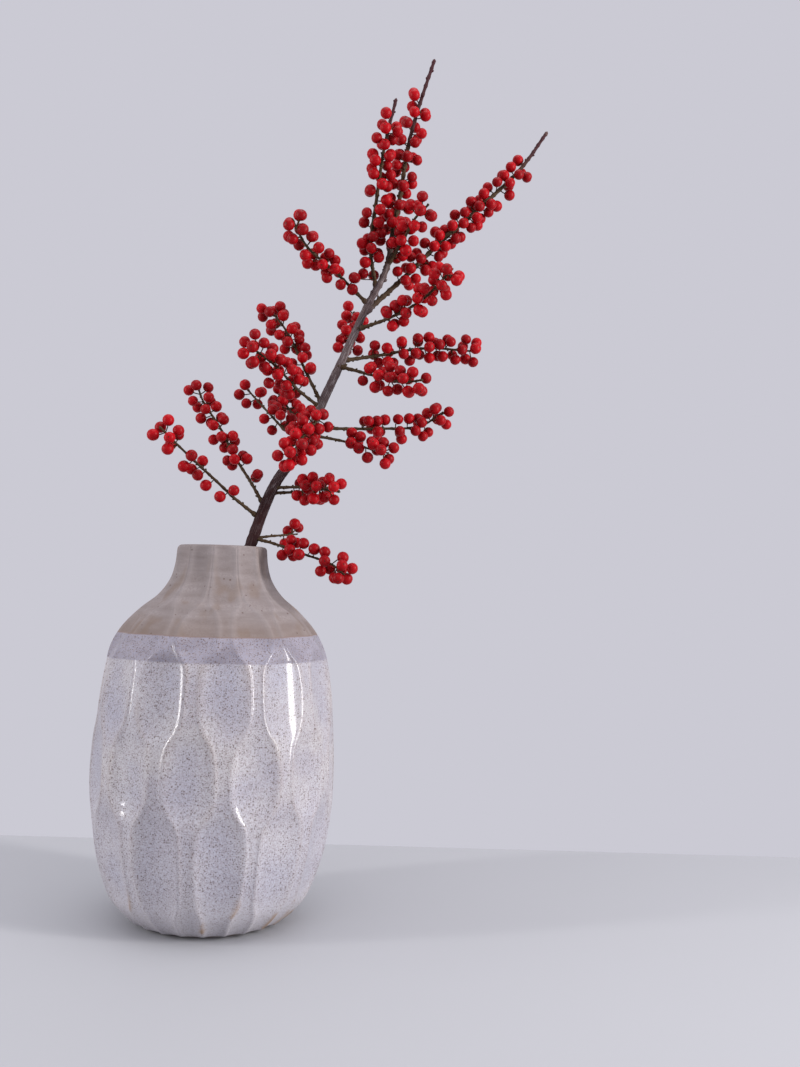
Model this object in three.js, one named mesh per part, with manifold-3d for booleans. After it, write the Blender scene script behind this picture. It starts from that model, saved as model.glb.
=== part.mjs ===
// A branch of winterberry standing in a carved stoneware vase.
// Millimetres, +Z up, the centre of the vase's flat foot at the origin, the carved front towards -Y.
// The vase is one fired piece. The main stem, every side twig and every run of touching berries is a
// piece of its own, 0.3 mm clear of its neighbours.
import * as THREE from "three";
import { mergeVertices } from "three/addons/utils/BufferGeometryUtils.js";
import Module from "manifold-3d";

const wasm = await Module();
wasm.setup();

const VASE_HEIGHT = 221.5; // foot to rim
const FOOT_RADIUS = 40.5; // flat unglazed disc the vase stands on
const MOUTH_RADIUS = 22; // narrowest inside radius, in the neck
const WALL = 6; // wall thickness under an uncarved ridge
const FLOOR = 7; // thickness of the vase's floor
const CUTS_ROUND = 12; // carved scoops in one row round the body
const SCOOP_DEPTH = 3; // depth of the widest scoop at the belly
const CARVING_TURN = -2; // degrees the carving is turned from the front
const BERRY_RADIUS = 4; // a winterberry fruit
const SCAR_SPACING = 6; // distance between two leaf scars along a twig
const TIP_LENGTH = 2; // wood past the last leaf scar
const GAP = 0.3; // clearance between separate pieces

// Outside of the vase over its ridges, from the foot up: [radius, height].
const BODY_PROFILE = [
  [45.3, 1.6],
  [50.4, 5.9],
  [57.5, 14],
  [62.4, 25],
  [67.4, 42],
  [70.2, 60],
  [71.4, 74],
  [71.9, 88],
  [71.2, 104],
  [70, 118],
  [69.2, 130],
  [66.7, 148],
  [63.6, 160],
  [57.6, 171.4],
  [46, 184],
  [37, 191.8],
  [30.6, 201],
  [26.9, 219.6],
];

// Half the angle, in degrees, that the even scoops take up at each height; the odd ones take the rest.
const EVEN_HALF_ANGLE = [
  [0, 7.5],
  [12, 7],
  [24, 4],
  [44, 3.2],
  [60, 3.6],
  [74, 9],
  [88, 11.8],
  [104, 11],
  [118, 5.5],
  [130, 3.2],
  [148, 3.4],
  [158, 7.5],
  [170, 11.5],
  [182, 9],
  [192, 2.2],
  [222, 1.6],
];

// The wood: control points of each axis, its radius, and its fruit: one mark for each leaf scar from
// the base up, a dot for a bare scar and a digit for the number of berries there. A twig's radius is
// given at its base and tip, the stem's as [height, radius].
const MAIN_STEM = {
  path: [
    [-33, 3, 10],
    [-20, 2, 75],
    [0, 1, 160],
    [17, 0, 222],
    [31, -2, 260],
    [48, -3, 285],
    [59, -1, 313],
    [72, 1, 344],
    [83, 3, 371],
    [95, 4, 397],
    [98, 4, 418],
    [102, 5, 442],
    [107, 6, 479],
    [114, 7, 507],
    [121, 8, 531],
  ],
  radii: [
    [10, 3.8],
    [225, 3.5],
    [300, 2.9],
    [344, 2.5],
    [371, 2.25],
    [397, 1.8],
    [435, 1.25],
    [480, 1],
    [531, 0.8],
  ],
  fruit: "222322223222323221....",
};
const TWIGS = {
  low_left_outer: {
    path: [[21, -1, 240], [8, -7, 250], [-3, -11, 260], [-12, -16, 268], [-26, -23, 281], [-34, -28, 289]],
    radii: [1, 0.6],
    fruit: "..2.1.22.223",
  },
  low_left_inner: {
    path: [[24, -1, 248], [15, 4, 262], [3, 11, 279], [-6, 16, 295], [-20, 24, 315], [-23, 26, 322]],
    radii: [1, 0.6],
    fruit: "..2.22.22212233",
  },
  mouth_back: {
    path: [[19, 0, 227], [30, 9, 229], [43, 20, 231]],
    radii: [0.8, 0.5],
    fruit: "..12",
  },
  mouth_front: {
    path: [[18, 0, 227], [31, -4, 224], [53, -12, 217], [68, -18, 212], [76, -22, 206]],
    radii: [0.9, 0.5],
    fruit: "..122.1233",
  },
  low_right_front: {
    path: [[30, -2, 258], [50, -9, 258], [71, -20, 255]],
    radii: [0.9, 0.6],
    fruit: ".23331",
  },
  low_right_back: {
    path: [[28, -2, 254.5], [49, 7, 257], [63, 18, 261]],
    radii: [0.9, 0.6],
    fruit: ".2332",
  },
  front: {
    path: [[52, -3, 296], [57, -18, 298], [50, -34, 285], [44, -46, 271]],
    radii: [1, 0.6],
    fruit: "..3454443",
  },
  left_back: {
    path: [[49, -3, 287], [36, 4, 294], [24, 16, 306], [8, 30, 323]],
    radii: [0.9, 0.6],
    fruit: "...1221.132",
  },
  back: {
    path: [[51, -3, 292], [38, 20, 307], [25, 46, 325]],
    radii: [0.9, 0.6],
    fruit: "...1112222",
  },
  left_high: {
    path: [[58, -1, 310], [48, 5, 329], [34, 14, 357], [21, 20, 374]],
    radii: [1.1, 0.6],
    fruit: "..1222332343",
  },
  left_front: {
    path: [[57, -1, 308], [44, -9, 317], [31, -21, 329], [17, -32, 338]],
    radii: [1, 0.6],
    fruit: "..3444443",
  },
  right_long: {
    path: [[70, 1, 338], [88, 6, 342], [120, 15, 350], [153, 24, 351]],
    radii: [1.1, 0.6],
    fruit: "..222323332333",
  },
  right_front: {
    path: [[68, 0, 334], [86, -9, 328], [106, -22, 321], [118, -30, 321]],
    radii: [1, 0.6],
    fruit: "..2333333",
  },
  right_low_back: {
    path: [[53, -2, 295], [95, 12, 298], [119, 23, 302], [133, 30, 312]],
    radii: [1, 0.6],
    fruit: "...2222212233",
  },
  right_low_front: {
    path: [[50, -3, 291], [74, -11, 286], [92, -21, 280], [100, -26, 278]],
    radii: [0.9, 0.5],
    fruit: "..21223",
  },
  upper_left: {
    path: [[84, 3, 374], [65, -6, 390], [47, -17, 403], [39, -24, 416]],
    radii: [1.1, 0.6],
    fruit: "..213322343",
  },
  upper_back: {
    path: [[70, 1, 335], [73, 22, 359], [74, 40, 378]],
    radii: [1, 0.6],
    fruit: "..2223222",
  },
  upper_right: {
    path: [[79, 2, 358], [98, -8, 363], [118, -20, 372], [134, -34, 386]],
    radii: [1.1, 0.6],
    fruit: ".1223222343",
  },
  top_right: {
    path: [[83, 3, 369], [107, 9, 394], [130, 16, 420], [152, 21, 442], [180, 29, 473], [196, 34, 498]],
    radii: [1.5, 0.8],
    fruit: "..222232222222322222221....",
  },
  top_left: {
    path: [[89, 4, 384], [85, 0, 407], [88, -6, 438], [92, -13, 467], [98, -18, 493]],
    radii: [1.1, 0.7],
    fruit: "222212221222122221.",
  },
  fork: {
    path: [[96, 4, 400], [105, -9, 411], [112, -20, 421], [119, -28, 426]],
    radii: [1.1, 0.6],
    fruit: ".1222233",
  },
};

const STONEWARE = { color: 0xb9b3b6, roughness: 0.4, metalness: 0 };
const BARK = { color: 0x4a3433, roughness: 0.8, metalness: 0 };
const FRUIT = { color: 0xb01322, roughness: 0.35, metalness: 0 };

const part = new THREE.Group();
part.name = "winterberry_vase";

function addPiece(name, body, look) {
  const shape = body.getMesh();
  const geometry = new THREE.BufferGeometry();
  geometry.setAttribute("position", new THREE.BufferAttribute(shape.vertProperties, 3));
  geometry.setIndex(new THREE.BufferAttribute(shape.triVerts, 1));
  geometry.computeVertexNormals();
  const mesh = new THREE.Mesh(geometry, new THREE.MeshStandardMaterial(look));
  mesh.name = name;
  part.add(mesh);
}

function solid(geometry) {
  geometry.deleteAttribute("normal");
  geometry.deleteAttribute("uv");
  const merged = mergeVertices(geometry, 1e-4);
  return new wasm.Manifold(
    new wasm.Mesh({
      numProp: 3,
      vertProperties: merged.getAttribute("position").array,
      triVerts: new Uint32Array(merged.index.array),
    }),
  );
}

// The value at x of a line drawn through [x, value] pairs, x rising.
function along(pairs, x) {
  const next = pairs.findIndex((pair) => pair[0] >= x);
  if (next === 0) return pairs[0][1];
  if (next < 0) return pairs[pairs.length - 1][1];
  const [x0, v0] = pairs[next - 1];
  const [x1, v1] = pairs[next];
  return v0 + ((v1 - v0) * (x - x0)) / (x1 - x0);
}

// ---- The vase: a turned body carved with rows of staggered scoops, hollow, open at the neck ----

const COLUMNS_PER_CUT = 8; // centre of an even scoop, its edge, centre of the odd one, and points between

function carvedBody() {
  const profile = [
    [0, 0],
    [FOOT_RADIUS, 0],
    [FOOT_RADIUS + 0.5, 0.5],
    [FOOT_RADIUS + 0.5, 1.8],
    ...BODY_PROFILE,
    [26.2, VASE_HEIGHT - 0.5],
    [25.2, VASE_HEIGHT],
    [0, VASE_HEIGHT],
  ];
  const columns = CUTS_ROUND * COLUMNS_PER_CUT;
  const points = profile.map(([r, z]) => new THREE.Vector2(r, z));
  const lathe = new THREE.LatheGeometry(points, columns);
  const position = lathe.getAttribute("position");
  for (let column = 0; column <= columns; column++) {
    const cut = Math.floor(column / COLUMNS_PER_CUT);
    const step = column % COLUMNS_PER_CUT;
    profile.forEach(([radius, z], row) => {
      const edge = along(EVEN_HALF_ANGLE, z);
      // The columns crowd together so that one always runs along the ridge between two scoops.
      const half = 180 / CUTS_ROUND;
      const stations = [0, edge / 2, edge, (edge + half) / 2, half];
      const angle = step <= 4 ? stations[step] : 2 * half - stations[8 - step];
      const fromOdd = Math.abs(angle - half);
      const fromEven = half - fromOdd;
      const inEven = fromEven <= edge;
      const width = inEven ? edge : half - edge;
      const off = inEven ? fromEven : fromOdd;
      const nearFoot = 1 + Math.max(0, 1 - z / 20);
      const carved = z > 1 && z < VASE_HEIGHT - 0.2 ? (nearFoot * radius) / 72 : 0;
      const depth = (SCOOP_DEPTH * carved * (width * width - off * off)) / (11.5 * 11.5);
      const turn = THREE.MathUtils.degToRad(angle + 2 * half * cut - 90 + CARVING_TURN);
      const r = radius - Math.max(depth, 0);
      position.setXYZ(column * profile.length + row, r * Math.cos(turn), r * Math.sin(turn), z);
    });
  }
  return solid(lathe);
}

function cavity() {
  const profile = [[0, FLOOR], [36, FLOOR]];
  BODY_PROFILE.slice(2, -1).forEach(([radius, z], row) => {
    if (row % 2 === 0) profile.push([Math.max(radius - WALL, MOUTH_RADIUS), z]);
  });
  profile.push([MOUTH_RADIUS, 207]);
  profile.push([MOUTH_RADIUS, VASE_HEIGHT - 3]);
  profile.push([MOUTH_RADIUS + 0.8, VASE_HEIGHT - 0.7]);
  profile.push([MOUTH_RADIUS + 2.2, VASE_HEIGHT]);
  profile.push([MOUTH_RADIUS + 2.2, VASE_HEIGHT + 2]);
  profile.push([0, VASE_HEIGHT + 2]);
  const points = profile.map(([r, z]) => new THREE.Vector2(r, z));
  return solid(new THREE.LatheGeometry(points, 20).rotateX(Math.PI / 2));
}

addPiece("vase", carvedBody().subtract(cavity()), STONEWARE);

// ---- The wood: one main stem that leans on the mouth, and side twigs cut to meet it ----

function curveOf(wood) {
  return new THREE.CatmullRomCurve3(wood.path.map((p) => new THREE.Vector3(...p)));
}

// Radius of a piece of wood at a share of its length, or for the stem at a height.
function radiusAt(wood, share, height) {
  if (wood === MAIN_STEM) return along(wood.radii, height);
  const [base, tip] = wood.radii;
  return base + (tip - base) * share;
}

// A round rod along a curve, narrowing to the tip. The extrusion is one unit in radius; each ring is
// then drawn in or out about its own centre.
function rod(wood, sides, length, extra = 0) {
  const curve = curveOf(wood);
  const rings = Math.max(3, Math.round(curve.getLength() / length));
  const outline = new THREE.Shape();
  for (let i = 0; i < sides; i++) {
    const turn = (i / sides) * 2 * Math.PI;
    if (i === 0) outline.moveTo(Math.cos(turn), Math.sin(turn));
    else outline.lineTo(Math.cos(turn), Math.sin(turn));
  }
  const options = { steps: rings, bevelEnabled: false, extrudePath: curve };
  const geometry = new THREE.ExtrudeGeometry(outline, options);
  const centres = curve.getSpacedPoints(rings);
  const position = geometry.getAttribute("position");
  const point = new THREE.Vector3();
  for (let i = 0; i < position.count; i++) {
    point.fromBufferAttribute(position, i);
    let ring = 0;
    centres.forEach((centre, k) => {
      if (centre.distanceTo(point) < centres[ring].distanceTo(point)) ring = k;
    });
    const radius = radiusAt(wood, ring / rings, centres[ring].z) + extra;
    point.sub(centres[ring]).multiplyScalar(radius).add(centres[ring]);
    position.setXYZ(i, point.x, point.y, point.z);
  }
  return solid(geometry);
}

function largest(body) {
  return body.decompose().sort((a, b) => b.volume() - a.volume())[0];
}

addPiece("main_stem", rod(MAIN_STEM, 8, 16), BARK);

const clearedStem = rod(MAIN_STEM, 8, 16, GAP);
for (const [name, twig] of Object.entries(TWIGS)) {
  addPiece("twig_" + name, largest(rod(twig, 5, 12).subtract(clearedStem)), BARK);
}

// ---- The berries: round fruit crowded round the leaf scars, each run of touching fruit one piece ----

// The smallest round-looking solid: twenty faces, all of them just outside the berry's sphere.
const FACE_DISTANCE = BERRY_RADIUS * 1.02;
const CORNER_DISTANCE = FACE_DISTANCE * 1.2584;
const berryShape = new THREE.IcosahedronGeometry(CORNER_DISTANCE, 0);

function faceNormals() {
  const position = berryShape.getAttribute("position");
  const normals = [];
  for (let i = 0; i < position.count; i += 3) {
    const middle = new THREE.Vector3();
    for (let k = 0; k < 3; k++) {
      middle.add(new THREE.Vector3().fromBufferAttribute(position, i + k));
    }
    normals.push(middle.normalize());
  }
  return normals;
}
const BERRY_NORMALS = faceNormals();

// Clear distance between two berries, all of which stand the same way up: negative when they touch.
function clearance(a, b) {
  const offset = new THREE.Vector3().subVectors(a, b);
  return Math.max(...BERRY_NORMALS.map((n) => n.dot(offset))) - 2 * FACE_DISTANCE;
}

let seed = 7;
function random() {
  seed = (seed * 16807) % 2147483647;
  return seed / 2147483647;
}

// Clear distance between a berry and a ball of wood; never more than the true one.
function clearanceFromWood(berry, ring) {
  const offset = new THREE.Vector3().subVectors(berry.place, ring.centre);
  return Math.max(...BERRY_NORMALS.map((n) => n.dot(offset))) - FACE_DISTANCE - ring.radius;
}

const woods = { leader: MAIN_STEM, ...TWIGS };
const woodRings = [];
const berries = [];

for (const [name, wood] of Object.entries(woods)) {
  const curve = curveOf(wood);
  const length = curve.getLength();
  for (let d = 0; d <= length; d += 0.9) {
    const centre = curve.getPointAt(d / length);
    woodRings.push({ centre, radius: radiusAt(wood, d / length, centre.z) });
  }
  let run = 0;
  const firstTurn = random() * 360;
  [...wood.fruit].forEach((mark, i) => {
    // Leaf scars are counted back from the tip.
    const d = length - TIP_LENGTH - (wood.fruit.length - 1 - i) * SCAR_SPACING;
    if (mark === ".") run += 1;
    if (mark === "." || d < 3) return;
    const centre = curve.getPointAt(d / length);
    const ahead = curve.getTangentAt(d / length);
    const side = new THREE.Vector3(0.3, 1, 0.2).cross(ahead).normalize();
    const clear = radiusAt(wood, d / length, centre.z) + FACE_DISTANCE * 1.1 + GAP;
    const count = Number(mark);
    for (let k = 0; k < count; k++) {
      const turn = firstTurn + i * 141 + (k - (count - 1) / 2) * 74 + (random() - 0.5) * 24;
      const out = side.clone().applyAxisAngle(ahead, THREE.MathUtils.degToRad(turn));
      const place = centre.clone().addScaledVector(out, clear + random() * 1.2);
      place.addScaledVector(ahead, 1 + (random() - 0.5) * 3);
      const order = berries.length;
      berries.push({ place, home: place.clone(), group: name + "_" + run, order });
    }
  });
}

// Shortest set of links that ties the berries of one run together.
function links(run) {
  const joined = [run[0]];
  const loose = run.slice(1);
  const found = [];
  while (loose.length) {
    let best = null;
    for (const a of joined) {
      loose.forEach((b, i) => {
        const gap = clearance(a.place, b.place);
        if (!best || gap < best.gap) best = { a, b, gap, i };
      });
    }
    found.push(best);
    joined.push(loose.splice(best.i, 1)[0]);
  }
  return found;
}

const runs = new Map();
for (const berry of berries) {
  if (!runs.has(berry.group)) runs.set(berry.group, []);
  runs.get(berry.group).push(berry);
}

const nearby = new THREE.Vector3();
function pushApart(a, b, amount) {
  nearby.subVectors(a.place, b.place).setLength(amount / 2);
  a.place.add(nearby);
  b.place.sub(nearby);
}

function clearOfWood(berry) {
  for (const ring of berry.nearWood) {
    const short = GAP + 0.12 - clearanceFromWood(berry, ring);
    if (short > 0) berry.place.add(nearby.subVectors(berry.place, ring.centre).setLength(short));
  }
}

function clearOfVase(berry) {
  if (berry.place.z > VASE_HEIGHT + CORNER_DISTANCE + 1) return;
  const out = Math.hypot(berry.place.x, berry.place.y);
  for (const [radius, z] of BODY_PROFILE) {
    const across = out - radius;
    const up = berry.place.z - z;
    const short = CORNER_DISTANCE + 1 - Math.hypot(across, up);
    if (short > 0) berry.place.z += short;
  }
}

// Let the fruit settle: linked berries touch, all others stay just off each other, wood and vase.
const ROUNDS = 260;
const PRESS = -0.15; // how far two linked fruit sink into each other
for (let round = 0; round < ROUNDS; round++) {
  const early = round < ROUNDS - 120;
  for (const berry of berries) if (early) berry.place.lerp(berry.home, 0.02);
  if (round % 20 === 0) {
    for (const berry of berries) {
      berry.nearWood = woodRings.filter(({ centre }) => centre.distanceTo(berry.place) < 14);
    }
  }
  const linked = new Set();
  for (const run of runs.values()) {
    for (const { a, b, gap } of links(run)) {
      if (gap > PRESS) pushApart(a, b, (PRESS - gap) * 0.8);
      linked.add(a.order + " " + b.order).add(b.order + " " + a.order);
    }
  }
  berries.forEach((a, i) => {
    for (let k = i + 1; k < berries.length; k++) {
      const b = berries[k];
      if (a.place.distanceTo(b.place) > 2.9 * BERRY_RADIUS) continue;
      const gap = clearance(a.place, b.place);
      let wanted = a.group === b.group ? 0.12 : GAP + 0.15;
      if (linked.has(a.order + " " + b.order)) wanted = PRESS;
      if (gap < wanted) pushApart(a, b, (wanted - gap) * 0.8);
    }
  });
  for (const berry of berries) {
    clearOfWood(berry);
    clearOfVase(berry);
  }
}

const letters = "abcdefgh";
const used = {};
for (const [group, run] of runs) {
  const owner = group.slice(0, group.lastIndexOf("_"));
  used[owner] = (used[owner] ?? -1) + 1;
  const fruit = run.map(({ place }) => solid(berryShape.clone().translate(place.x, place.y, place.z)));
  addPiece("berries_" + owner + "_" + letters[used[owner]], wasm.Manifold.union(fruit), FRUIT);
}

export default part;
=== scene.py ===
# A cut branch of winterberry leaning in a carved stoneware vase.
import math
import random
from functools import partial

import bmesh
import bpy
from mathutils import Matrix, Vector


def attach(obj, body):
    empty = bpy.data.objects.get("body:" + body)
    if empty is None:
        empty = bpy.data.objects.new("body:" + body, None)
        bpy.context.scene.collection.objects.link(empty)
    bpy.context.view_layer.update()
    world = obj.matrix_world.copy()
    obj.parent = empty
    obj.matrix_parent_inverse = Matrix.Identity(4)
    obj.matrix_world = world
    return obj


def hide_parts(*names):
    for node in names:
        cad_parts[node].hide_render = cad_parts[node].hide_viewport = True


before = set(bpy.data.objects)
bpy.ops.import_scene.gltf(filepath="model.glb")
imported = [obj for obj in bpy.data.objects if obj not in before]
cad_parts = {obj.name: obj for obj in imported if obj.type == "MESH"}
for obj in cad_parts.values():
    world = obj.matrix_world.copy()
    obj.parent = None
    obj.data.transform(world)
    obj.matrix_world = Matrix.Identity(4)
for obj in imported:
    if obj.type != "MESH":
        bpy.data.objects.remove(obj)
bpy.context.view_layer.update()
MM = 0.001

# ---- The vase ----
# One piece of thrown stoneware, its leather-hard wall carved with twelve columns of staggered scoops,
# then dipped upside down twice in a milky speckled glaze. The neck and shoulder stay bare clay.


def smooth_line(points, step):
    """Points about one step apart on the centripetal curve through the given ones."""
    points = [Vector(p) for p in points]
    ends = [2 * points[0] - points[1]] + points + [2 * points[-1] - points[-2]]
    line = []
    for a, b, c, d in zip(ends, ends[1:], ends[2:], ends[3:]):
        t1 = (b - a).length ** 0.5
        t2 = t1 + (c - b).length ** 0.5
        t3 = t2 + (d - c).length ** 0.5
        count = max(1, round((c - b).length / step))
        for i in range(count):
            t = t1 + (t2 - t1) * i / count
            ab = a.lerp(b, t / t1)
            bc = b.lerp(c, (t - t1) / (t2 - t1))
            cd = c.lerp(d, (t - t2) / (t3 - t2))
            abc = ab.lerp(bc, t / t2)
            bcd = bc.lerp(cd, (t - t1) / (t3 - t1))
            line.append(abc.lerp(bcd, (t - t1) / (t2 - t1)))
    return line + [points[-1]]


def add(tree, kind, inputs=None, **settings):
    """A node with its settings, its inputs given as values or as other nodes' outputs."""
    made = tree.nodes.new(kind)
    for name, value in settings.items():
        setattr(made, name, value)
    for name, value in (inputs or {}).items():
        if isinstance(value, bpy.types.NodeSocket):
            tree.links.new(value, made.inputs[name])
        else:
            made.inputs[name].default_value = value
    return made


def calc(operation, *values):
    """One sum on numbers and nodes' outputs, made in the tree that the outputs come from."""
    tree = next(value.id_data for value in values if isinstance(value, bpy.types.NodeSocket))
    return add(tree, "ShaderNodeMath", dict(enumerate(values)), operation=operation).outputs[0]


plus, minus, times, over = (partial(calc, kind) for kind in ("ADD", "SUBTRACT", "MULTIPLY", "DIVIDE"))


def bell(distance, width):
    """One at no distance, falling smoothly to nothing past a width."""
    return calc("EXPONENT", times(-1.0, calc("POWER", over(distance, width), 2.0)))


def ramp(value, low, high, start=0.0, end=1.0):
    """Goes smoothly from start to end while a value goes from low to high."""
    inputs = {"Value": value, "From Min": low, "From Max": high, "To Min": start, "To Max": end}
    return add(value.id_data, "ShaderNodeMapRange", inputs, interpolation_type="SMOOTHSTEP").outputs[0]


def mix(amount, first, second):
    """A colour between two others."""
    return add(amount.id_data, "ShaderNodeMix", {0: amount, 6: first, 7: second}, data_type="RGBA").outputs[2]


def marking(tree, name):
    """What a piece's mesh says at each place of its surface, for a material."""
    return add(tree, "ShaderNodeAttribute", attribute_name=name).outputs["Fac"]


def attribute(tree, name, kind="FLOAT"):
    """What a piece's mesh says at each point, for a geometry tree."""
    return add(tree, "GeometryNodeInputNamedAttribute", {"Name": name}, data_type=kind).outputs[0]


def stored(shape, name, value):
    """A shape that keeps a number at each of its points."""
    inputs = {"Geometry": shape, "Name": name, "Value": value}
    made = add(shape.id_data, "GeometryNodeStoreNamedAttribute", inputs, data_type="FLOAT", domain="POINT")
    return made.outputs[0]


def new_material(name):
    """A new material with its tree, its shader and the place on the piece."""
    material = bpy.data.materials.new(name)
    material.use_nodes = True
    tree = material.node_tree
    place = add(tree, "ShaderNodeTexCoord").outputs["Object"]
    return material, tree, tree.nodes["Principled BSDF"], place


def geometry_tree(name, sizes):
    """A new node tree with a geometry input and named number inputs."""
    tree = bpy.data.node_groups.new(name, "GeometryNodeTree")
    tree.interface.new_socket("Geometry", in_out="INPUT", socket_type="NodeSocketGeometry")
    for label, (kind, value) in sizes.items():
        tree.interface.new_socket(label, in_out="INPUT", socket_type=kind).default_value = value
    tree.interface.new_socket("Geometry", in_out="OUTPUT", socket_type="NodeSocketGeometry")
    return tree, tree.nodes.new("NodeGroupInput")


def finish_tree(tree, geometry, material):
    """Ends a tree: instances made real, smooth faces, the material set."""
    real = add(tree, "GeometryNodeRealizeInstances", {"Geometry": geometry}).outputs[0]
    smooth = add(tree, "GeometryNodeSetShadeSmooth", {"Geometry": real}).outputs[0]
    painted = add(tree, "GeometryNodeSetMaterial", {"Geometry": smooth, "Material": material}).outputs[0]
    tree.links.new(painted, tree.nodes.new("NodeGroupOutput").inputs[0])


def grown(name, tree, vertices, edges, attributes=None, **sizes):
    """The plain mesh that a node tree makes of a few points and edges, as a new object."""
    seed = bpy.data.meshes.new(name + "_line")
    seed.from_pydata(vertices, edges, [])
    for label, values in (attributes or {}).items():
        kind = "FLOAT" if isinstance(values[0], (int, float)) else "FLOAT_VECTOR"
        layer = seed.attributes.new(label, kind, "POINT")
        for item, value in zip(layer.data, values):
            if kind == "FLOAT":
                item.value = value
            else:
                item.vector = value
    base = bpy.data.objects.new(name + "_seed", seed)
    bpy.context.collection.objects.link(base)
    modifier = base.modifiers.new("grow", "NODES")
    modifier.node_group = tree
    for item in tree.interface.items_tree:
        if item.in_out == "INPUT" and item.name in sizes:
            modifier[item.identifier] = sizes[item.name]
    graph = bpy.context.evaluated_depsgraph_get()
    mesh = bpy.data.meshes.new_from_object(base.evaluated_get(graph), depsgraph=graph)
    base.modifiers.clear()
    bpy.data.objects.remove(base)
    mesh.name = name
    made = bpy.data.objects.new(name, mesh)
    bpy.context.collection.objects.link(made)
    return made


VASE_HEIGHT = 221.5
FOOT = 40.5
# Radius and height over the ridges, from the scalloped lower edge to the lip.
BODY = [
    (45.3, 1.6), (50.4, 5.9), (57.5, 14), (62.4, 25), (67.4, 42), (70.2, 60), (71.4, 74), (71.9, 88),
    (71.2, 104), (70, 118), (69.2, 130), (66.7, 148), (63.6, 160), (57.6, 171.4), (46, 184), (37, 191.8),
    (30.6, 201), (27.9, 210), (26.9, 219.6),
]
outside = smooth_line([(r, 0, z) for r, z in BODY], 1.3)
lip = [
    (26.6, 0, 220.4), (25.9, 0, 221.2), (24.9, 0, 221.5), (23.9, 0, 221.3), (22.9, 0, 220.5), (22.3, 0, 219),
]
inside = smooth_line([(22, 0, 216), (22, 0, 207), (25, 0, 200), (40, 0, 184), (54, 0, 168), (60.7, 0, 148),
                      (64.1, 0, 116), (65.8, 0, 91), (65.1, 0, 68), (61.2, 0, 41), (51.5, 0, 14)], 6)
floor_inside = [(46, 0, 9.2), (36, 0, 7), (18, 0, 7), (0, 0, 7)]
foot_ring = [(0, 0, 0), (20, 0, 0), (40, 0, 0), (FOOT, 0, 0.15), (40.9, 0, 0.6), (41, 0, 1.9), (43.6, 0, 2.0)]
section = [Vector(p) for p in foot_ring] + outside + [Vector(p) for p in lip] + inside
section += [Vector(p) for p in floor_inside]
first_carved = len(foot_ring)
last_carved = first_carved + len(outside) - 1
# How much of the carving each row of the section takes: it fades at the lip and under the lower edge.
carve = [1.0 if first_carved <= i <= last_carved else 0.0 for i in range(len(section))]
carve[last_carved + 1] = 0.8
carve[last_carved + 2] = 0.4
carve[first_carved - 1] = 0.6

# Share of each sixth of the round, counted up the vase, that the even scoops take.
EVEN_SHARE = [
    (0, 0.5), (12, 0.47), (24, 0.27), (44, 0.213), (60, 0.24), (74, 0.60), (88, 0.787), (104, 0.733),
    (118, 0.367), (130, 0.213), (148, 0.227), (158, 0.5), (170, 0.767), (182, 0.6), (192, 0.147),
    (221.5, 0.107),
]
WIDEST_SCOOP = 0.767  # share of its column that the widest scoop takes, where it is deepest
WIDEST_RADIUS = 72
RIDGE = 0.0011  # half the width of a ridge, in metres
GLAZE_EDGE = 0.169  # heights of the edges of the first and the second coat, in metres
SECOND_COAT = 0.1546


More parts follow.
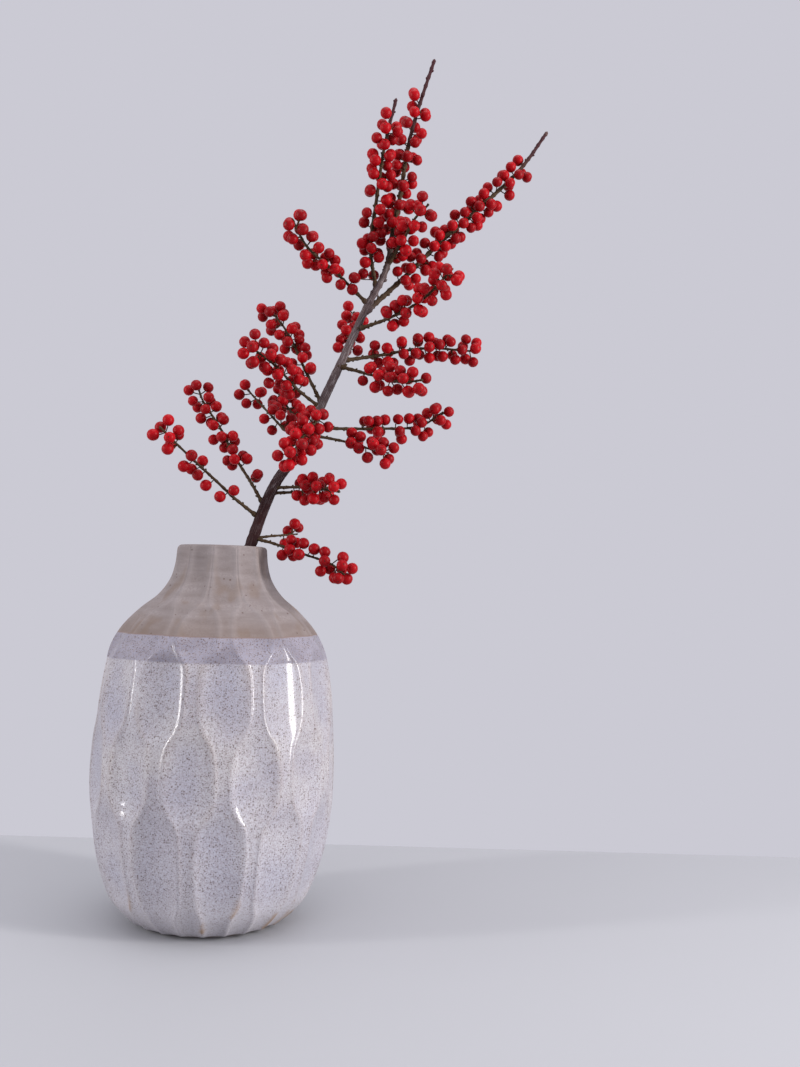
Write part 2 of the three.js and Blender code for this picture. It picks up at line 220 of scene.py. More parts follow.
def clay_and_glaze():
    """Bare warm-grey clay above, one thin coat of glaze, then two coats, with iron specks in all of it."""
    material, tree, shader, place = new_material("speckled_stoneware")
    height = add(tree, "ShaderNodeSeparateXYZ", {0: place}).outputs["Z"]
    ridge = marking(tree, "ridge")
    scoop = marking(tree, "scoop")

    def cloud(scale, detail=3.0, where=place):
        """A soft uneven pattern."""
        inputs = {"Vector": where, "Scale": scale, "Detail": detail}
        return add(tree, "ShaderNodeTexNoise", inputs).outputs["Fac"]

    def specks(scale, size, seed):
        """Round specks of many sizes, most of them small."""
        shift = {0: place, 1: (seed, seed, seed)}
        shifted = add(tree, "ShaderNodeVectorMath", shift, operation="ADD").outputs[0]
        cells = add(tree, "ShaderNodeTexVoronoi", {"Vector": shifted, "Scale": scale})
        chance = add(tree, "ShaderNodeSeparateColor", {0: cells.outputs["Color"]})
        reach = times(calc("POWER", chance.outputs["Red"], 2.0), size)
        inner = times(reach, 0.45)
        inputs = {"Value": cells.outputs["Distance"], "From Min": inner, "From Max": reach,
                  "To Min": 1.0, "To Max": 0.0}
        return add(tree, "ShaderNodeMapRange", inputs).outputs[0]

    # Clay
    throwing = add(tree, "ShaderNodeMapping", {"Vector": place, "Scale": (1, 1, 6)}).outputs[0]
    clay = mix(ramp(cloud(45, 4, throwing), 0.3, 0.7), (0.185, 0.153, 0.147, 1), (0.258, 0.223, 0.221, 1))
    clay = mix(ramp(cloud(900, 2), 0.35, 0.7), clay, (0.215, 0.182, 0.179, 1))
    burnt = ramp(plus(height, times(cloud(60, 3), 0.006)), 0.186, 0.172)
    clay = mix(times(burnt, 0.5), clay, (0.159, 0.111, 0.089, 1))
    drip = add(tree, "ShaderNodeMapping", {"Vector": place, "Scale": (1, 1, 0.12)}).outputs[0]
    clay = mix(ramp(cloud(75, 2, drip), 0.53, 0.66, 0.0, 0.45), clay, (0.17, 0.12, 0.092, 1))
    # Clay a little paler along the ridges: a painted highlight where the ridges catch the light.
    clay = mix(times(ridge, 0.18), clay, (0.318, 0.289, 0.296, 1))
    clay = mix(times(specks(300, 0.25, 3.1), 0.8), clay, (0.086, 0.049, 0.039, 1))

    # Glaze: milky where two coats lie, lavender where one does, brown where it breaks over a ridge
    milk = mix(ramp(cloud(38, 3), 0.35, 0.65), (0.387, 0.373, 0.418, 1), (0.468, 0.45, 0.47, 1))
    milk = mix(ramp(cloud(15, 2), 0.45, 0.7, 0.0, 0.35), milk, (0.347, 0.36, 0.451, 1))
    # Darker, bluer glaze in the scoops, in patches: partly glaze pooled in the hollows, partly painted shade
    # in the recesses.
    pooled_glaze_and_painted_shade = times(scoop, ramp(cloud(22, 2), 0.4, 0.62, 0.1, 0.7))
    milk = mix(pooled_glaze_and_painted_shade, milk, (0.32, 0.324, 0.404, 1))
    thin = times(ridge, ramp(cloud(30, 3), 0.38, 0.6, 0.1, 0.8))
    milk = mix(times(thin, 0.4), milk, (0.36, 0.297, 0.263, 1))
    # The milky glaze paler and bluer low on the body: painted light bounced up from the pale table.
    milk = mix(ramp(height, 0.115, 0.03, 0.0, 0.45), milk, (0.50, 0.495, 0.575, 1))
    lavender = mix(ramp(cloud(60, 3), 0.35, 0.65), (0.214, 0.204, 0.257, 1), (0.281, 0.27, 0.332, 1))
    waver = calc("MULTIPLY_ADD", cloud(25, 3), 0.0018, -0.0009)
    level = plus(height, waver)
    second_coat = ramp(level, SECOND_COAT + 0.0006, SECOND_COAT - 0.0006)
    glaze = mix(second_coat, lavender, milk)
    grain = mix(ramp(cloud(1300, 3), 0.40, 0.62, 0.0, 0.5), glaze, (0.25, 0.20, 0.195, 1))
    brown = (0.085, 0.05, 0.04, 1)
    glaze = mix(times(specks(900, 0.62, 0.7), 0.7), grain, brown)
    glaze = mix(times(specks(1400, 0.70, 5.3), 0.6), glaze, brown)
    glaze = mix(times(specks(560, 0.34, 9.9), 0.75), glaze, (0.085, 0.045, 0.035, 1))
    # Towards the lower edge the glaze is painted paler, as light bounced up from the table, and the coat
    # thins, so the clay breaks through on the ridges
    near_foot = ramp(height, 0.034, 0.006)
    bare_streak = times(times(near_foot, calc("POWER", ridge, 2.0)),
                       ramp(cloud(34, 2), 0.60, 0.65))
    glaze = mix(times(near_foot, 0.45), glaze, (0.50, 0.475, 0.49, 1))
    glaze = mix(bare_streak, glaze, (0.33, 0.22, 0.14, 1))

    glazed = ramp(level, GLAZE_EDGE + 0.00015, GLAZE_EDGE - 0.00015)
    hollow = ramp(plus(ridge, scoop), -0.5, -0.1)
    outer = times(glazed, hollow)
    edge = times(ramp(level, GLAZE_EDGE - 0.0006, GLAZE_EDGE), ramp(level, GLAZE_EDGE + 0.0007, GLAZE_EDGE))
    colour = mix(outer, clay, glaze)
    colour = mix(times(edge, times(hollow, 0.75)), colour, (0.20, 0.14, 0.12, 1))
    tree.links.new(colour, shader.inputs["Base Color"])
    gloss = ramp(height, 0.002, 0.03, 0.5, 0.42)
    rough = add(tree, "ShaderNodeMix", {0: outer, 2: 0.78, 3: gloss}).outputs[0]
    tree.links.new(rough, shader.inputs["Roughness"])
    shader.inputs["Specular IOR Level"].default_value = 0.2
    shader.inputs["Coat Roughness"].default_value = 0.09
    tree.links.new(times(outer, ramp(height, 0.01, 0.035, 0.0, 0.3)), shader.inputs["Coat Weight"])
    grit = times(cloud(1400, 3), add(tree, "ShaderNodeMix", {0: outer, 2: 0.5, 3: 0.06}).outputs[0])
    skin = plus(grit, times(cloud(160, 2), 0.6))
    bump = add(tree, "ShaderNodeBump", {"Strength": 0.25, "Distance": 0.0006, "Height": skin}).outputs[0]
    tree.links.new(bump, shader.inputs["Normal"])
    return material


def carving_tree(material):
    """Turns a wall's section round the axis, and carves each column of scoops to a shared ridge."""
    sizes = {
        "Columns round": ("NodeSocketInt", 12),
        "Steps per column": ("NodeSocketInt", 24),
        "Scoop depth": ("NodeSocketFloat", 0.0030),
        "Lip on ridges": ("NodeSocketFloat", 0.00045),
        "Turn of the carving": ("NodeSocketFloat", math.radians(-2)),
    }
    tree, given = geometry_tree("turned_and_carved", sizes)
    line = given.outputs["Geometry"]
    rows = add(tree, "GeometryNodeAttributeDomainSize", {"Geometry": line}).outputs["Point Count"]
    steps = given.outputs["Steps per column"]
    around = times(given.outputs["Columns round"], steps)
    net = add(tree, "GeometryNodeMeshGrid", {"Vertices X": plus(around, 1.0), "Vertices Y": rows})
    index = add(tree, "GeometryNodeInputIndex").outputs[0]
    column = calc("FLOOR", over(plus(index, 0.5), rows))
    row = minus(index, times(column, rows))

    def from_line(kind, value):
        """What the section says at the net's row."""
        sample = add(tree, "GeometryNodeSampleIndex", {"Geometry": line, "Index": row}, data_type=kind)
        tree.links.new(value, sample.inputs["Value"])
        return sample.outputs["Value"]

    point = from_line("FLOAT_VECTOR", add(tree, "GeometryNodeInputPosition").outputs[0])
    cut = from_line("FLOAT", attribute(tree, "carve"))
    split = add(tree, "ShaderNodeSeparateXYZ", {0: point})
    radius = split.outputs["X"]
    height = split.outputs["Z"]
    share = add(tree, "ShaderNodeFloatCurve", {"Value": over(height, VASE_HEIGHT * MM)})
    curve = share.mapping.curves[0]
    curve.points[0].location = (0, EVEN_SHARE[0][1])
    curve.points[1].location = (1, EVEN_SHARE[-1][1])
    for z, value in EVEN_SHARE[1:-1]:
        curve.points.new(z / VASE_HEIGHT, value)
    share.mapping.update()
    edge = share.outputs[0]
    # Each column runs from an even scoop's middle to the odd one's and back; its middle step is the ridge.
    within = over(calc("MODULO", column, steps), steps)
    fold = minus(1.0, calc("ABSOLUTE", minus(times(within, 2.0), 1.0)))
    below = times(calc("MINIMUM", times(fold, 2.0), 1.0), edge)
    above = times(calc("MAXIMUM", minus(times(fold, 2.0), 1.0), 0.0), minus(1.0, edge))
    part_turn = plus(below, above)
    half = over(math.pi, given.outputs["Columns round"])
    mirrored = calc("GREATER_THAN", within, 0.5)
    local = add(tree, "GeometryNodeSwitch", {"Switch": mirrored, "False": part_turn,
                "True": minus(2.0, part_turn)}, input_type="FLOAT").outputs[0]
    whole = calc("FLOOR", over(plus(column, 0.5), steps))
    turn = times(half, plus(local, times(whole, 2.0)))
    turn = plus(minus(turn, math.pi / 2), given.outputs["Turn of the carving"])
    # Depth of the scoop: full at its middle, nothing on the ridge
    in_even = calc("LESS_THAN", fold, 0.5)
    width = add(tree, "GeometryNodeSwitch", {"Switch": in_even, "True": edge,
                "False": minus(1.0, edge)}, input_type="FLOAT").outputs[0]
    to_ridge = calc("ABSOLUTE", minus(part_turn, edge))
    off = minus(width, to_ridge)
    squared = minus(calc("POWER", width, 2.0), calc("POWER", off, 2.0))
    swing = over(squared, WIDEST_SCOOP ** 2)
    # The scoops bite up to twice as deep in the lowest 20 mm
    near_foot = plus(calc("MAXIMUM", calc("MULTIPLY_ADD", height, -50.0, 1.0), 0.0), 1.0)
    girth = times(near_foot, over(radius, WIDEST_RADIUS * MM))
    depth = times(times(swing, given.outputs["Scoop depth"]), times(cut, girth))
    from_ridge = times(to_ridge, times(half, radius))
    raised = bell(from_ridge, RIDGE)
    lift = times(times(raised, given.outputs["Lip on ridges"]), cut)
    out = plus(minus(radius, depth), lift)
    x = times(out, calc("COSINE", turn))
    y = times(out, calc("SINE", turn))
    spot = add(tree, "ShaderNodeCombineXYZ", {"X": x, "Y": y, "Z": height}).outputs[0]
    # What the glaze needs to know: how near a ridge, how deep in a scoop, and minus one off the carving
    off_carving = minus(calc("MINIMUM", times(cut, 2.0), 1.0), 1.0)
    wide = bell(from_ridge, 2 * RIDGE)
    marks = {"ridge": plus(times(wide, cut), off_carving),
             "scoop": calc("MINIMUM", times(swing, cut), 1.0)}
    shape = net.outputs["Mesh"]
    for label, value in marks.items():
        shape = stored(shape, label, value)
    placed = add(tree, "GeometryNodeSetPosition", {"Geometry": shape, "Position": spot}).outputs[0]
    closed = add(tree, "GeometryNodeMergeByDistance", {"Geometry": placed, "Distance": 0.00001}).outputs[0]
    finish_tree(tree, closed, material)
    return tree


def outward(piece):
    """Turns a closed mesh's faces outwards."""
    shell = bmesh.new()
    shell.from_mesh(piece.data)
    if shell.calc_volume(signed=True) < 0:
        bmesh.ops.reverse_faces(shell, faces=shell.faces)
    shell.to_mesh(piece.data)
    shell.free()


stoneware = clay_and_glaze()
carving = carving_tree(stoneware)
wall = [p * MM for p in section]
vase = grown("carved_vase", carving, wall, [(i, i + 1) for i in range(len(wall) - 1)], {"carve": carve})
outward(vase)
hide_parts("vase")
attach(vase, "root")

# ---- The wood ----
# One cut branch of winterberry: a stem as thick as a pencil that leans on the mouth's right side and
# stands on the vase's floor, with slim side twigs. Each fruit hangs on a short stalk of its own.

STEM_PATH = [
    (-33, 3, 10), (-20, 2, 75), (0, 1, 160), (17, 0, 222), (31, -2, 260), (48, -3, 285), (59, -1, 313),
    (72, 1, 344), (83, 3, 371), (95, 4, 397), (98, 4, 418), (102, 5, 442), (107, 6, 479), (114, 7, 507),
    (121, 8, 531),
]
# The stem's radius at its heights.
STEM_RADII = [
    (10, 3.8), (225, 3.5), (300, 2.9), (344, 2.5), (371, 2.25), (397, 1.8), (435, 1.3), (480, 1.1), (531, 1),
]
# Axis of each twig from the stem outwards, then its radius at the base and at the tip.
TWIGS = {
    "low_left_outer": ([(21, -1, 240), (8, -7, 250), (-3, -11, 260), (-12, -16, 268), (-26, -23, 281),
                        (-34, -28, 289)], 1, 0.6),
    "low_left_inner": ([(24, -1, 248), (15, 4, 262), (3, 11, 279), (-6, 16, 295), (-20, 24, 315),
                        (-23, 26, 322)], 1, 0.6),
    "mouth_back": ([(19, 0, 227), (30, 9, 229), (43, 20, 231)], 0.8, 0.5),
    "mouth_front": ([(18, 0, 227), (31, -4, 224), (53, -12, 217), (68, -18, 212), (76, -22, 206)], 0.9, 0.5),
    "low_right_front": ([(30, -2, 258), (50, -9, 258), (71, -20, 255)], 0.9, 0.6),
    "low_right_back": ([(28, -2, 254.5), (49, 7, 257), (63, 18, 261)], 0.9, 0.6),
    "front": ([(52, -3, 296), (57, -18, 298), (50, -34, 285), (44, -46, 271)], 1, 0.6),
    "left_back": ([(49, -3, 287), (36, 4, 294), (24, 16, 306), (8, 30, 323)], 0.9, 0.6),
    "back": ([(51, -3, 292), (38, 20, 307), (25, 46, 325)], 0.9, 0.6),
    "left_high": ([(58, -1, 310), (48, 5, 329), (34, 14, 357), (21, 20, 374)], 1.1, 0.6),
    "left_front": ([(57, -1, 308), (44, -9, 317), (31, -21, 329), (17, -32, 338)], 1, 0.6),
    "right_long": ([(70, 1, 338), (88, 6, 342), (120, 15, 350), (153, 24, 351)], 1.1, 0.6),
    "right_front": ([(68, 0, 334), (86, -9, 328), (106, -22, 321), (118, -30, 321)], 1, 0.6),
    "right_low_back": ([(53, -2, 295), (95, 12, 298), (119, 23, 302), (133, 30, 312)], 1, 0.6),
    "right_low_front": ([(50, -3, 291), (74, -11, 286), (92, -21, 280), (100, -26, 278)], 0.9, 0.5),
    "upper_left": ([(84, 3, 374), (65, -6, 390), (47, -17, 403), (39, -24, 416)], 1.1, 0.6),
    "upper_back": ([(70, 1, 335), (73, 22, 359), (74, 40, 378)], 1, 0.6),
    "upper_right": ([(79, 2, 358), (98, -8, 363), (118, -20, 372), (134, -34, 386)], 1.1, 0.6),
    "top_right": ([(83, 3, 369), (107, 9, 394), (130, 16, 420), (152, 21, 442), (180, 29, 473),
                   (196, 34, 498)], 1.5, 1),
    "top_left": ([(89, 4, 384), (85, 0, 407), (88, -6, 438), (92, -13, 467), (98, -18, 493)], 1.1, 0.9),
    "fork": ([(96, 4, 400), (105, -9, 411), (112, -20, 421), (119, -28, 426)], 1.1, 0.6),
}
STALK = 0.0005  # wood with a smaller radius than this, in metres, is a fruit's stalk
STALK_RADII = [0.00036, 0.00030, 0.00028, 0.00034]
STALK_SUNK = 0.45  # how far the stalk's end goes into the fruit
BUDDED = 0.002  # wood with a smaller radius than this bears buds
KNOTTY = 0.0022  # wood with a smaller radius than this swells at its leaf scars
BERRY_FACE = 1.02 * 4  # from a berry's centre to the flat faces of its solid
INRADIUS = 0.7558  # the same distance on a twenty-sided body with edges of one
FRUIT_RADIUS = 3.65  # of a large fruit
CROWDED = 0.8  # share of the fruit that another may be squeezed in beside
TRIES = 12  # places looked at for it
SIDE_BY_SIDE = (6.8, 7.4)  # between the centres of the two
CLEAR = 6.7  # least from its centre to that of the nearest fruit
TOGETHER = 8.6  # most from its centre to that of the second nearest
OFF_BARK = (3.6, 5.6)  # from its centre to the bark


def berry_centres(node):
    """Centres of the berries in one solid of fused fruit, where three of the faces left whole agree."""
    whole = 3 ** 0.5 / 4 * (BERRY_FACE / INRADIUS) ** 2 * MM * MM
    found = []
    for face in node.data.polygons:
        if abs(face.area / whole - 1) > 0.02:
            continue
        middle = face.center - face.normal * BERRY_FACE * MM
        near = [votes for votes in found if (votes[0] - middle).length < 0.0004]
        if near:
            near[0].append(middle)
        else:
            found.append([middle])
    return [votes[0] for votes in found if len(votes) > 2]


def squeezed_in(centres, others, wood_points, chance):
    """A few more fruit in the gaps of a crowded run, close to the wood and just clear of all else."""
    found = []
    for centre in centres:
        for _ in range(TRIES if chance.random() < CROWDED else 0):
            away = Vector([chance.gauss(0, 1) for _ in range(3)]).normalized()
            spot = centre + away * chance.uniform(*SIDE_BY_SIDE) * MM
            gaps = sorted((other - spot).length / MM for other in others)
            if gaps[0] < CLEAR or gaps[1] > TOGETHER:
                continue
            from_bark = min((point - spot).length - radius for point, radius in wood_points) / MM
            if OFF_BARK[0] < from_bark < OFF_BARK[1]:
                found.append(spot)
                others.append(spot)
                break
    return found


def bark():
    """Purple-brown bark, greyer up the stem, with long pale cracks and corky spots."""
    material, tree, shader, place = new_material("winterberry_bark")
    height = add(tree, "ShaderNodeSeparateXYZ", {0: place}).outputs["Z"]
    around = marking(tree, "around")
    along = marking(tree, "along")
    thick = marking(tree, "thick")
    turn = times(around, 2 * math.pi)

    def unrolled(across, lengthwise):
        """The bark's surface laid out, so that a pattern on it follows the wood."""
        x = times(calc("COSINE", turn), across)
        y = times(calc("SINE", turn), across)
        return add(tree, "ShaderNodeCombineXYZ", {"X": x, "Y": y, "Z": times(along, lengthwise)}).outputs[0]

    def noise(across, lengthwise, detail):
        """A pattern drawn out along the wood."""
        inputs = {"Vector": unrolled(across, lengthwise), "Scale": 2.0, "Detail": detail}
        return add(tree, "ShaderNodeTexNoise", inputs).outputs["Fac"]

    cracks = noise(2.2, 90, 5.0)
    streak = ramp(cracks, 0.50, 0.66)
    fine = noise(1.0, 500, 3.0)
    spots = add(tree, "ShaderNodeTexVoronoi", {"Vector": unrolled(1.4, 260), "Scale": 1.6})
    spot = ramp(spots.outputs["Distance"], 0.20, 0.12)
    high = ramp(height, 0.245, 0.31)
    stout = ramp(thick, 0.0014, 0.0020)
    young = mix(fine, (0.035, 0.019, 0.010, 1), (0.085, 0.054, 0.028, 1))
    dark = mix(fine, (0.018, 0.005, 0.006, 1), (0.042, 0.015, 0.015, 1))
    grey = mix(fine, (0.060, 0.040, 0.040, 1), (0.125, 0.092, 0.094, 1))
    maroon = mix(fine, (0.030, 0.008, 0.011, 1), (0.070, 0.024, 0.028, 1))
    tip = times(ramp(thick, 0.0013, 0.0010), ramp(height, 0.46, 0.485))
    young = mix(tip, young, maroon)
    old = mix(high, dark, grey)
    cracked = mix(times(streak, ramp(height, 0.235, 0.28, 0.10, 0.75)), old, (0.27, 0.235, 0.24, 1))
    colour = mix(stout, young, cracked)
    colour = mix(times(spot, ramp(thick, STALK, 0.0012, 0.0, 0.4)), colour, (0.17, 0.12, 0.10, 1))
    stalk = ramp(thick, STALK, 0.0004)
    colour = mix(stalk, colour, (0.055, 0.028, 0.012, 1))
    tree.links.new(colour, shader.inputs["Base Color"])
    shader.inputs["Roughness"].default_value = 0.72
    shader.inputs["Specular IOR Level"].default_value = 0.14
    relief = plus(cracks, times(spot, 0.5))
    bump = add(tree, "ShaderNodeBump", {"Strength": 0.6, "Distance": 0.0004, "Height": relief}).outputs[0]
    tree.links.new(bump, shader.inputs["Normal"])
    return material


def wood_tree(material):
    """Rods along the lines, as thick as each point says, with knots and buds at every leaf scar."""
    sizes = {
        "Sides": ("NodeSocketInt", 8),
        "Leaf scars apart": ("NodeSocketFloat", 0.006),
        "Knot swelling": ("NodeSocketFloat", 0.32),
        "Turn per leaf": ("NodeSocketFloat", math.radians(141)),
    }
    tree, given = geometry_tree("twig_with_buds", sizes)
    lines = add(tree, "GeometryNodeMeshToCurve", {"Mesh": given.outputs["Geometry"]}).outputs[0]
    step = {"Curve": lines, "Length": 0.0011}
    fine = add(tree, "GeometryNodeResampleCurve", step, mode="LENGTH").outputs[0]
    position = add(tree, "GeometryNodeSplineParameter")
    length = position.outputs["Length"]
    thick = attribute(tree, "thick")
    apart = given.outputs["Leaf scars apart"]
    phase = minus(calc("FRACT", over(length, apart)), 0.5)
    knot = bell(times(phase, apart), 0.0009)
    slim_enough = calc("LESS_THAN", thick, KNOTTY)
    swelling = times(knot, times(given.outputs["Knot swelling"], slim_enough))
    girth = times(thick, plus(swelling, 1.0))
    sized = add(tree, "GeometryNodeSetCurveRadius", {"Curve": fine, "Radius": girth}).outputs[0]
    marked = stored(sized, "along", length)
    round_rod = {"Resolution": given.outputs["Sides"], "Radius": 1.0}
    ring = add(tree, "GeometryNodeCurvePrimitiveCircle", round_rod).outputs[0]
    ring = stored(ring, "around", position.outputs["Factor"])
    radius = add(tree, "GeometryNodeInputRadius").outputs[0]
    sweep = {"Curve": marked, "Profile Curve": ring, "Scale": radius, "Fill Caps": True}
    rod = add(tree, "GeometryNodeCurveToMesh", sweep).outputs[0]
    rough = add(tree, "ShaderNodeTexNoise", {"Scale": 420.0, "Detail": 3.0}).outputs["Fac"]
    push = times(minus(rough, 0.5), times(thick, 0.3))
    normal = add(tree, "GeometryNodeInputNormal").outputs[0]
    offset = add(tree, "ShaderNodeVectorMath", {0: normal, "Scale": push}, operation="SCALE").outputs[0]
    barky = add(tree, "GeometryNodeSetPosition", {"Geometry": rod, "Offset": offset}).outputs[0]
    # A bud above each leaf scar, spiralling up the twig
    points = add(tree, "GeometryNodeCurveToPoints", {"Curve": marked, "Length": apart}, mode="LENGTH")
    index = add(tree, "GeometryNodeInputIndex").outputs[0]
    spiral = add(tree, "ShaderNodeVectorRotate", {"Vector": points.outputs["Normal"],
                 "Axis": points.outputs["Tangent"],
                 "Angle": times(index, given.outputs["Turn per leaf"])}).outputs[0]
    out = add(tree, "ShaderNodeVectorMath", {0: spiral, "Scale": thick}, operation="SCALE").outputs[0]
    on_bark = {"Geometry": points.outputs["Points"], "Offset": out}
    seated = add(tree, "GeometryNodeSetPosition", on_bark).outputs[0]
    upwards = {0: spiral, 1: points.outputs["Tangent"]}
    lean = add(tree, "ShaderNodeVectorMath", upwards, operation="ADD").outputs[0]
    facing = add(tree, "FunctionNodeAlignRotationToVector", {"Vector": lean}, axis="Z").outputs[0]
    bud = add(tree, "GeometryNodeMeshIcoSphere", {"Radius": 1.0, "Subdivisions": 1}).outputs[0]
    fat = plus(times(thick, 0.45), 0.00026)
    slim = add(tree, "ShaderNodeCombineXYZ", {"X": fat, "Y": fat, "Z": times(fat, 1.7)}).outputs[0]
    on_twig = times(calc("GREATER_THAN", thick, STALK), calc("LESS_THAN", thick, BUDDED))
    side = {"Points": seated, "Instance": bud, "Rotation": facing, "Scale": slim, "Selection": on_twig}
    buds = add(tree, "GeometryNodeInstanceOnPoints", side).outputs[0]
    # The end bud of each twig
    ends = add(tree, "GeometryNodeCurveEndpointSelection", {"Start Size": 0, "End Size": 1}).outputs[0]
    tips = add(tree, "GeometryNodeCurveToPoints", {"Curve": stored(marked, "end", ends)}, mode="EVALUATED")
    ahead = {"Vector": tips.outputs["Tangent"]}
    along_tip = add(tree, "FunctionNodeAlignRotationToVector", ahead, axis="Z").outputs[0]
    is_end = attribute(tree, "end")
    end_size = times(thick, 1.35)
    long_bud = {"X": end_size, "Y": end_size, "Z": times(end_size, 1.8)}
    end = {
        "Points": tips.outputs["Points"],
        "Instance": bud,
        "Rotation": along_tip,
        "Scale": add(tree, "ShaderNodeCombineXYZ", long_bud).outputs[0],
        "Selection": times(is_end, calc("GREATER_THAN", thick, STALK)),
    }
    end_buds = add(tree, "GeometryNodeInstanceOnPoints", end).outputs[0]
    whole = add(tree, "GeometryNodeJoinGeometry")
    for piece in (barky, buds, end_buds):
        tree.links.new(piece, whole.inputs[0])
    finish_tree(tree, whole.outputs[0], material)
    return tree


def add_line(points, thicknesses, lines):
    """Adds one open line to the lists of vertices, edges and thicknesses."""
    vertices, edges, thick = lines
    start = len(vertices)
    vertices.extend(points)
    edges.extend((start + i, start + i + 1) for i in range(len(points) - 1))
    thick.extend(thicknesses)


def twig_axis(path, base, tip):
    """Points down a twig's axis and its radius at each, stouter where it leaves the stem."""
    axis = [p * MM for p in smooth_line(path, 2.0)]
    radii = []
    for i, point in enumerate(axis):
        share = i / (len(axis) - 1)
        gone = (point - axis[0]).length / MM
        radii.append((base + (tip - base) * share) * (1 + 0.5 * math.exp(-max(gone - 2, 0) / 2.5)) * MM)
    return axis, radii


def stem_axis():
    """Points down the stem's axis and its radius at each."""
    axis = [p * MM for p in smooth_line(STEM_PATH, 2.0)]
    radii = []
    for point in axis:
        for (low, thick), (high, thin) in zip(STEM_RADII, STEM_RADII[1:]):
            if point.z <= high * MM or high == STEM_RADII[-1][0]:
                share = min(max((point.z / MM - low) / (high - low), 0), 1)
                radii.append((thick + (thin - thick) * share) * MM)
                break
    return axis, radii


winterberry_bark = bark()
twigs_grow = wood_tree(winterberry_bark)
axes = {"leader": stem_axis()}
for name, (path, base, tip) in TWIGS.items():
    axes[name] = twig_axis(path, base, tip)

fruit_of = {}
for node_name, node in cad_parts.items():
    if node_name.startswith("berries_"):
        fruit_of[node_name] = berry_centres(node)

wood_points = [pair for axis, radii in axes.values() for pair in zip(axis, radii)]
everyone = [centre for centres in fruit_of.values() for centre in centres]
chance = random.Random(11)
for node_name, centres in fruit_of.items():
    centres += squeezed_in(centres, everyone, wood_points, chance)

stalk_ends = {}
for owner, (axis, radii) in axes.items():
    lines = ([], [], [])
    add_line(axis, radii, lines)
    for run, centres in fruit_of.items():
        if run[len("berries_"):-2] != owner:
            continue
        hangs = []
        for centre in centres:
            nearest = min(range(1, len(axis) - 1), key=lambda i: (axis[i] - centre).length)
            scar = axis[nearest - 1]
            along_twig = (axis[nearest + 1] - axis[nearest - 1]).normalized()
            middle = scar.lerp(centre, 0.5) - along_twig * 0.0006
            pull = (middle - centre).normalized()
            end = centre + pull * (FRUIT_RADIUS - STALK_SUNK) * MM
            add_line([scar, scar.lerp(middle, 0.6), middle, end], STALK_RADII, lines)
            hangs.append(pull)
        stalk_ends[run] = hangs
    vertices, edges, thick = lines
    sides = 20 if owner == "leader" else 8
    node_name = "main_stem" if owner == "leader" else "twig_" + owner
    wood = grown("wood_" + node_name, twigs_grow, vertices, edges, {"thick": thick}, Sides=sides)
    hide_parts(node_name)
    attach(wood, "root")

# ---- The berries ----
# Round red drupes with a thin, tight, satin skin. Each keeps a small dark scar of its flower at the
# end away from its stalk. They crowd round the leaf scars and press on each other.


def berry_skin():
    """Deep red skin with faint mottling, brighter on some fruit, and a dark flower scar."""
    material, tree, shader, place = new_material("winterberry_skin")
    tone = marking(tree, "tone")
    scar = marking(tree, "scar")
    mottle = add(tree, "ShaderNodeTexNoise", {"Vector": place, "Scale": 500.0, "Detail": 2.0}).outputs["Fac"]
    ripe = calc("MULTIPLY_ADD", mottle, 0.5, calc("MULTIPLY_ADD", tone, 0.8, -0.15))
    colours = add(tree, "ShaderNodeValToRGB", {"Fac": ripe})
    colours.color_ramp.elements[0].position = 0.1
    colours.color_ramp.elements[0].color = (0.205, 0.0006, 0.003, 1)
    colours.color_ramp.elements[1].position = 0.9
    colours.color_ramp.elements[1].color = (0.365, 0.0010, 0.005, 1)
    dark = add(tree, "ShaderNodeMapRange", {"Value": scar, "From Min": 0.55, "From Max": 0.8}).outputs[0]
    skin = mix(dark, colours.outputs["Color"], (0.05, 0.012, 0.008, 1))
    tree.links.new(skin, shader.inputs["Base Color"])
    shader.inputs["Roughness"].default_value = 0.4
    shader.inputs["Specular IOR Level"].default_value = 0.13
    fine = add(tree, "ShaderNodeTexNoise", {"Vector": place, "Scale": 1800.0, "Detail": 1.0}).outputs["Fac"]
    bump = add(tree, "ShaderNodeBump", {"Strength": 0.08, "Distance": 0.0003, "Height": fine}).outputs[0]
    tree.links.new(bump, shader.inputs["Normal"])
    return material


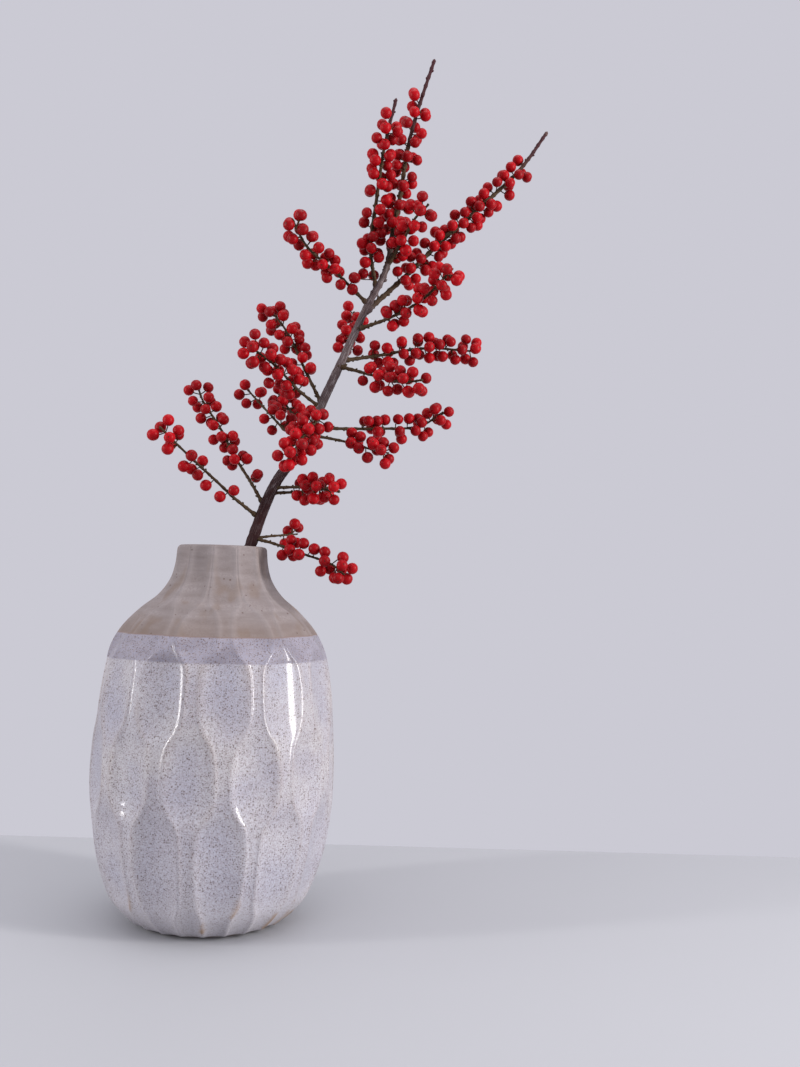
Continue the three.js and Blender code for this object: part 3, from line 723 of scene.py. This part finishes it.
def fruit_tree(material):
    """One berry on every point, its stalk end turned to the twig, each a little different."""
    sizes = {
        "Berry radius": ("NodeSocketFloat", FRUIT_RADIUS * MM),
        "Spread of size": ("NodeSocketFloat", 0.09),
        "Seed": ("NodeSocketInt", 5),
    }
    tree, given = geometry_tree("crowded_fruit", sizes)
    ball = add(tree, "GeometryNodeMeshUVSphere", {"Segments": 14, "Rings": 8, "Radius": 1.0}).outputs["Mesh"]
    spot = add(tree, "GeometryNodeInputPosition").outputs[0]
    axial = add(tree, "ShaderNodeSeparateXYZ", {0: spot}).outputs["Z"]
    scar = calc("LESS_THAN", axial, -0.99)
    dimple = times(calc("GREATER_THAN", calc("ABSOLUTE", axial), 0.99), 0.10)
    shrink = minus(0.96, dimple)
    flatter = add(tree, "ShaderNodeCombineXYZ", {"X": 1.0, "Y": 1.0, "Z": shrink}).outputs[0]
    shaped = add(tree, "ShaderNodeVectorMath", {0: spot, 1: flatter}, operation="MULTIPLY").outputs[0]
    marked = stored(ball, "scar", scar)
    berry = add(tree, "GeometryNodeSetPosition", {"Geometry": marked, "Position": shaped}).outputs[0]
    towards = attribute(tree, "towards", "FLOAT_VECTOR")
    facing = add(tree, "FunctionNodeAlignRotationToVector", {"Vector": towards}, axis="Z").outputs[0]
    drawn = add(tree, "FunctionNodeRandomValue", {"Seed": given.outputs["Seed"]}, data_type="FLOAT")
    tone = next(output for output in drawn.outputs if output.enabled)
    toned = stored(given.outputs["Geometry"], "tone", tone)
    vary = attribute(tree, "tone")
    swell = minus(1.0, times(given.outputs["Spread of size"], calc("FRACT", times(vary, 7.0))))
    size = times(given.outputs["Berry radius"], swell)
    longer = times(size, calc("MULTIPLY_ADD", vary, 0.12, 0.96))
    scale = add(tree, "ShaderNodeCombineXYZ", {"X": size, "Y": size, "Z": longer}).outputs[0]
    hung = {"Points": toned, "Instance": berry, "Rotation": facing, "Scale": scale}
    berries = add(tree, "GeometryNodeInstanceOnPoints", hung).outputs[0]
    finish_tree(tree, berries, material)
    return tree


winterberry_skin = berry_skin()
fruit_grows = fruit_tree(winterberry_skin)
for number, (node_name, centres) in enumerate(fruit_of.items()):
    fruit = grown(node_name.replace("berries", "fruit"), fruit_grows, centres, [],
                  {"towards": stalk_ends[node_name]}, Seed=number)
    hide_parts(node_name)
    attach(fruit, "root")

# ---- The table, the light and the view ----
# A pale matt table top in front of an even pale wall, under soft light from two tall windows and the
# ceiling, seen from the height of the vase's mouth.


def plain(name, colour, roughness):
    """A matt surface with a faint unevenness, for the table only."""
    material, tree, shader, place = new_material(name)
    grain = add(tree, "ShaderNodeTexNoise", {"Vector": place, "Scale": 6.0, "Detail": 2.0}).outputs["Fac"]
    tone = add(tree, "ShaderNodeHueSaturation", {"Color": colour,
               "Value": calc("MULTIPLY_ADD", grain, 0.02, 0.99)}).outputs[0]
    tree.links.new(tone, shader.inputs["Base Color"])
    shader.inputs["Roughness"].default_value = roughness
    return material


table_mesh = bpy.data.meshes.new("table_top")
left, right, near, far, level = -2.2, 2.2, -2.2, 0.185, -0.0004
corners = [(left, near, level), (right, near, level), (right, far, level), (left, far, level)]
table_mesh.from_pydata(corners, [], [(0, 1, 2, 3)])
table_mesh.materials.append(plain("pale_table", (0.39, 0.392, 0.415, 1), 0.6))
table_top = bpy.data.objects.new("table_top", table_mesh)
bpy.context.collection.objects.link(table_top)

world = bpy.data.worlds.new("pale_room")
world.use_nodes = True
world.node_tree.nodes["Background"].inputs["Color"].default_value = (0.597, 0.591, 0.658, 1)
world.node_tree.nodes["Background"].inputs["Strength"].default_value = 1.0
bpy.context.scene.world = world


def soft_light(name, place, aim, width, height, power, colour):
    """A rectangular soft light that faces a point."""
    lamp = bpy.data.lights.new(name, "AREA")
    lamp.shape = "RECTANGLE"
    lamp.size = width
    lamp.size_y = height
    lamp.energy = power
    lamp.color = colour
    made = bpy.data.objects.new(name, lamp)
    made.location = place
    made.rotation_euler = (Vector(aim) - Vector(place)).to_track_quat("-Z", "Y").to_euler()
    bpy.context.collection.objects.link(made)


soft_light("window_right", (1.25, -0.5, 0.5), (0, 0, 0.15), 0.14, 0.9, 19, (1.0, 0.985, 0.97))
soft_light("window_left", (-1.3, -0.5, 0.5), (0, 0, 0.15), 0.11, 0.9, 12, (1.0, 0.99, 0.98))
soft_light("ceiling", (0.1, -0.2, 1.7), (0, 0, 0), 1.2, 1.2, 13, (1, 1, 1))

eye = Vector((0.108, -0.650, 0.200))
LOOK_UP = math.radians(2.84)
ROLL = math.radians(-1.6)
ahead = Vector((0, math.cos(LOOK_UP), math.sin(LOOK_UP)))
sideways = Matrix.Rotation(ROLL, 3, ahead) @ Vector((1, 0, 0))
upward = sideways.cross(ahead)
camera = bpy.data.objects.new("camera", bpy.data.cameras.new("camera"))
camera.data.lens = 36
camera.data.sensor_width = 36
camera.location = eye
camera.rotation_euler = Matrix((sideways, upward, -ahead)).transposed().to_euler()
bpy.context.collection.objects.link(camera)
bpy.context.scene.camera = camera
bpy.context.scene.view_settings.view_transform = "Standard"
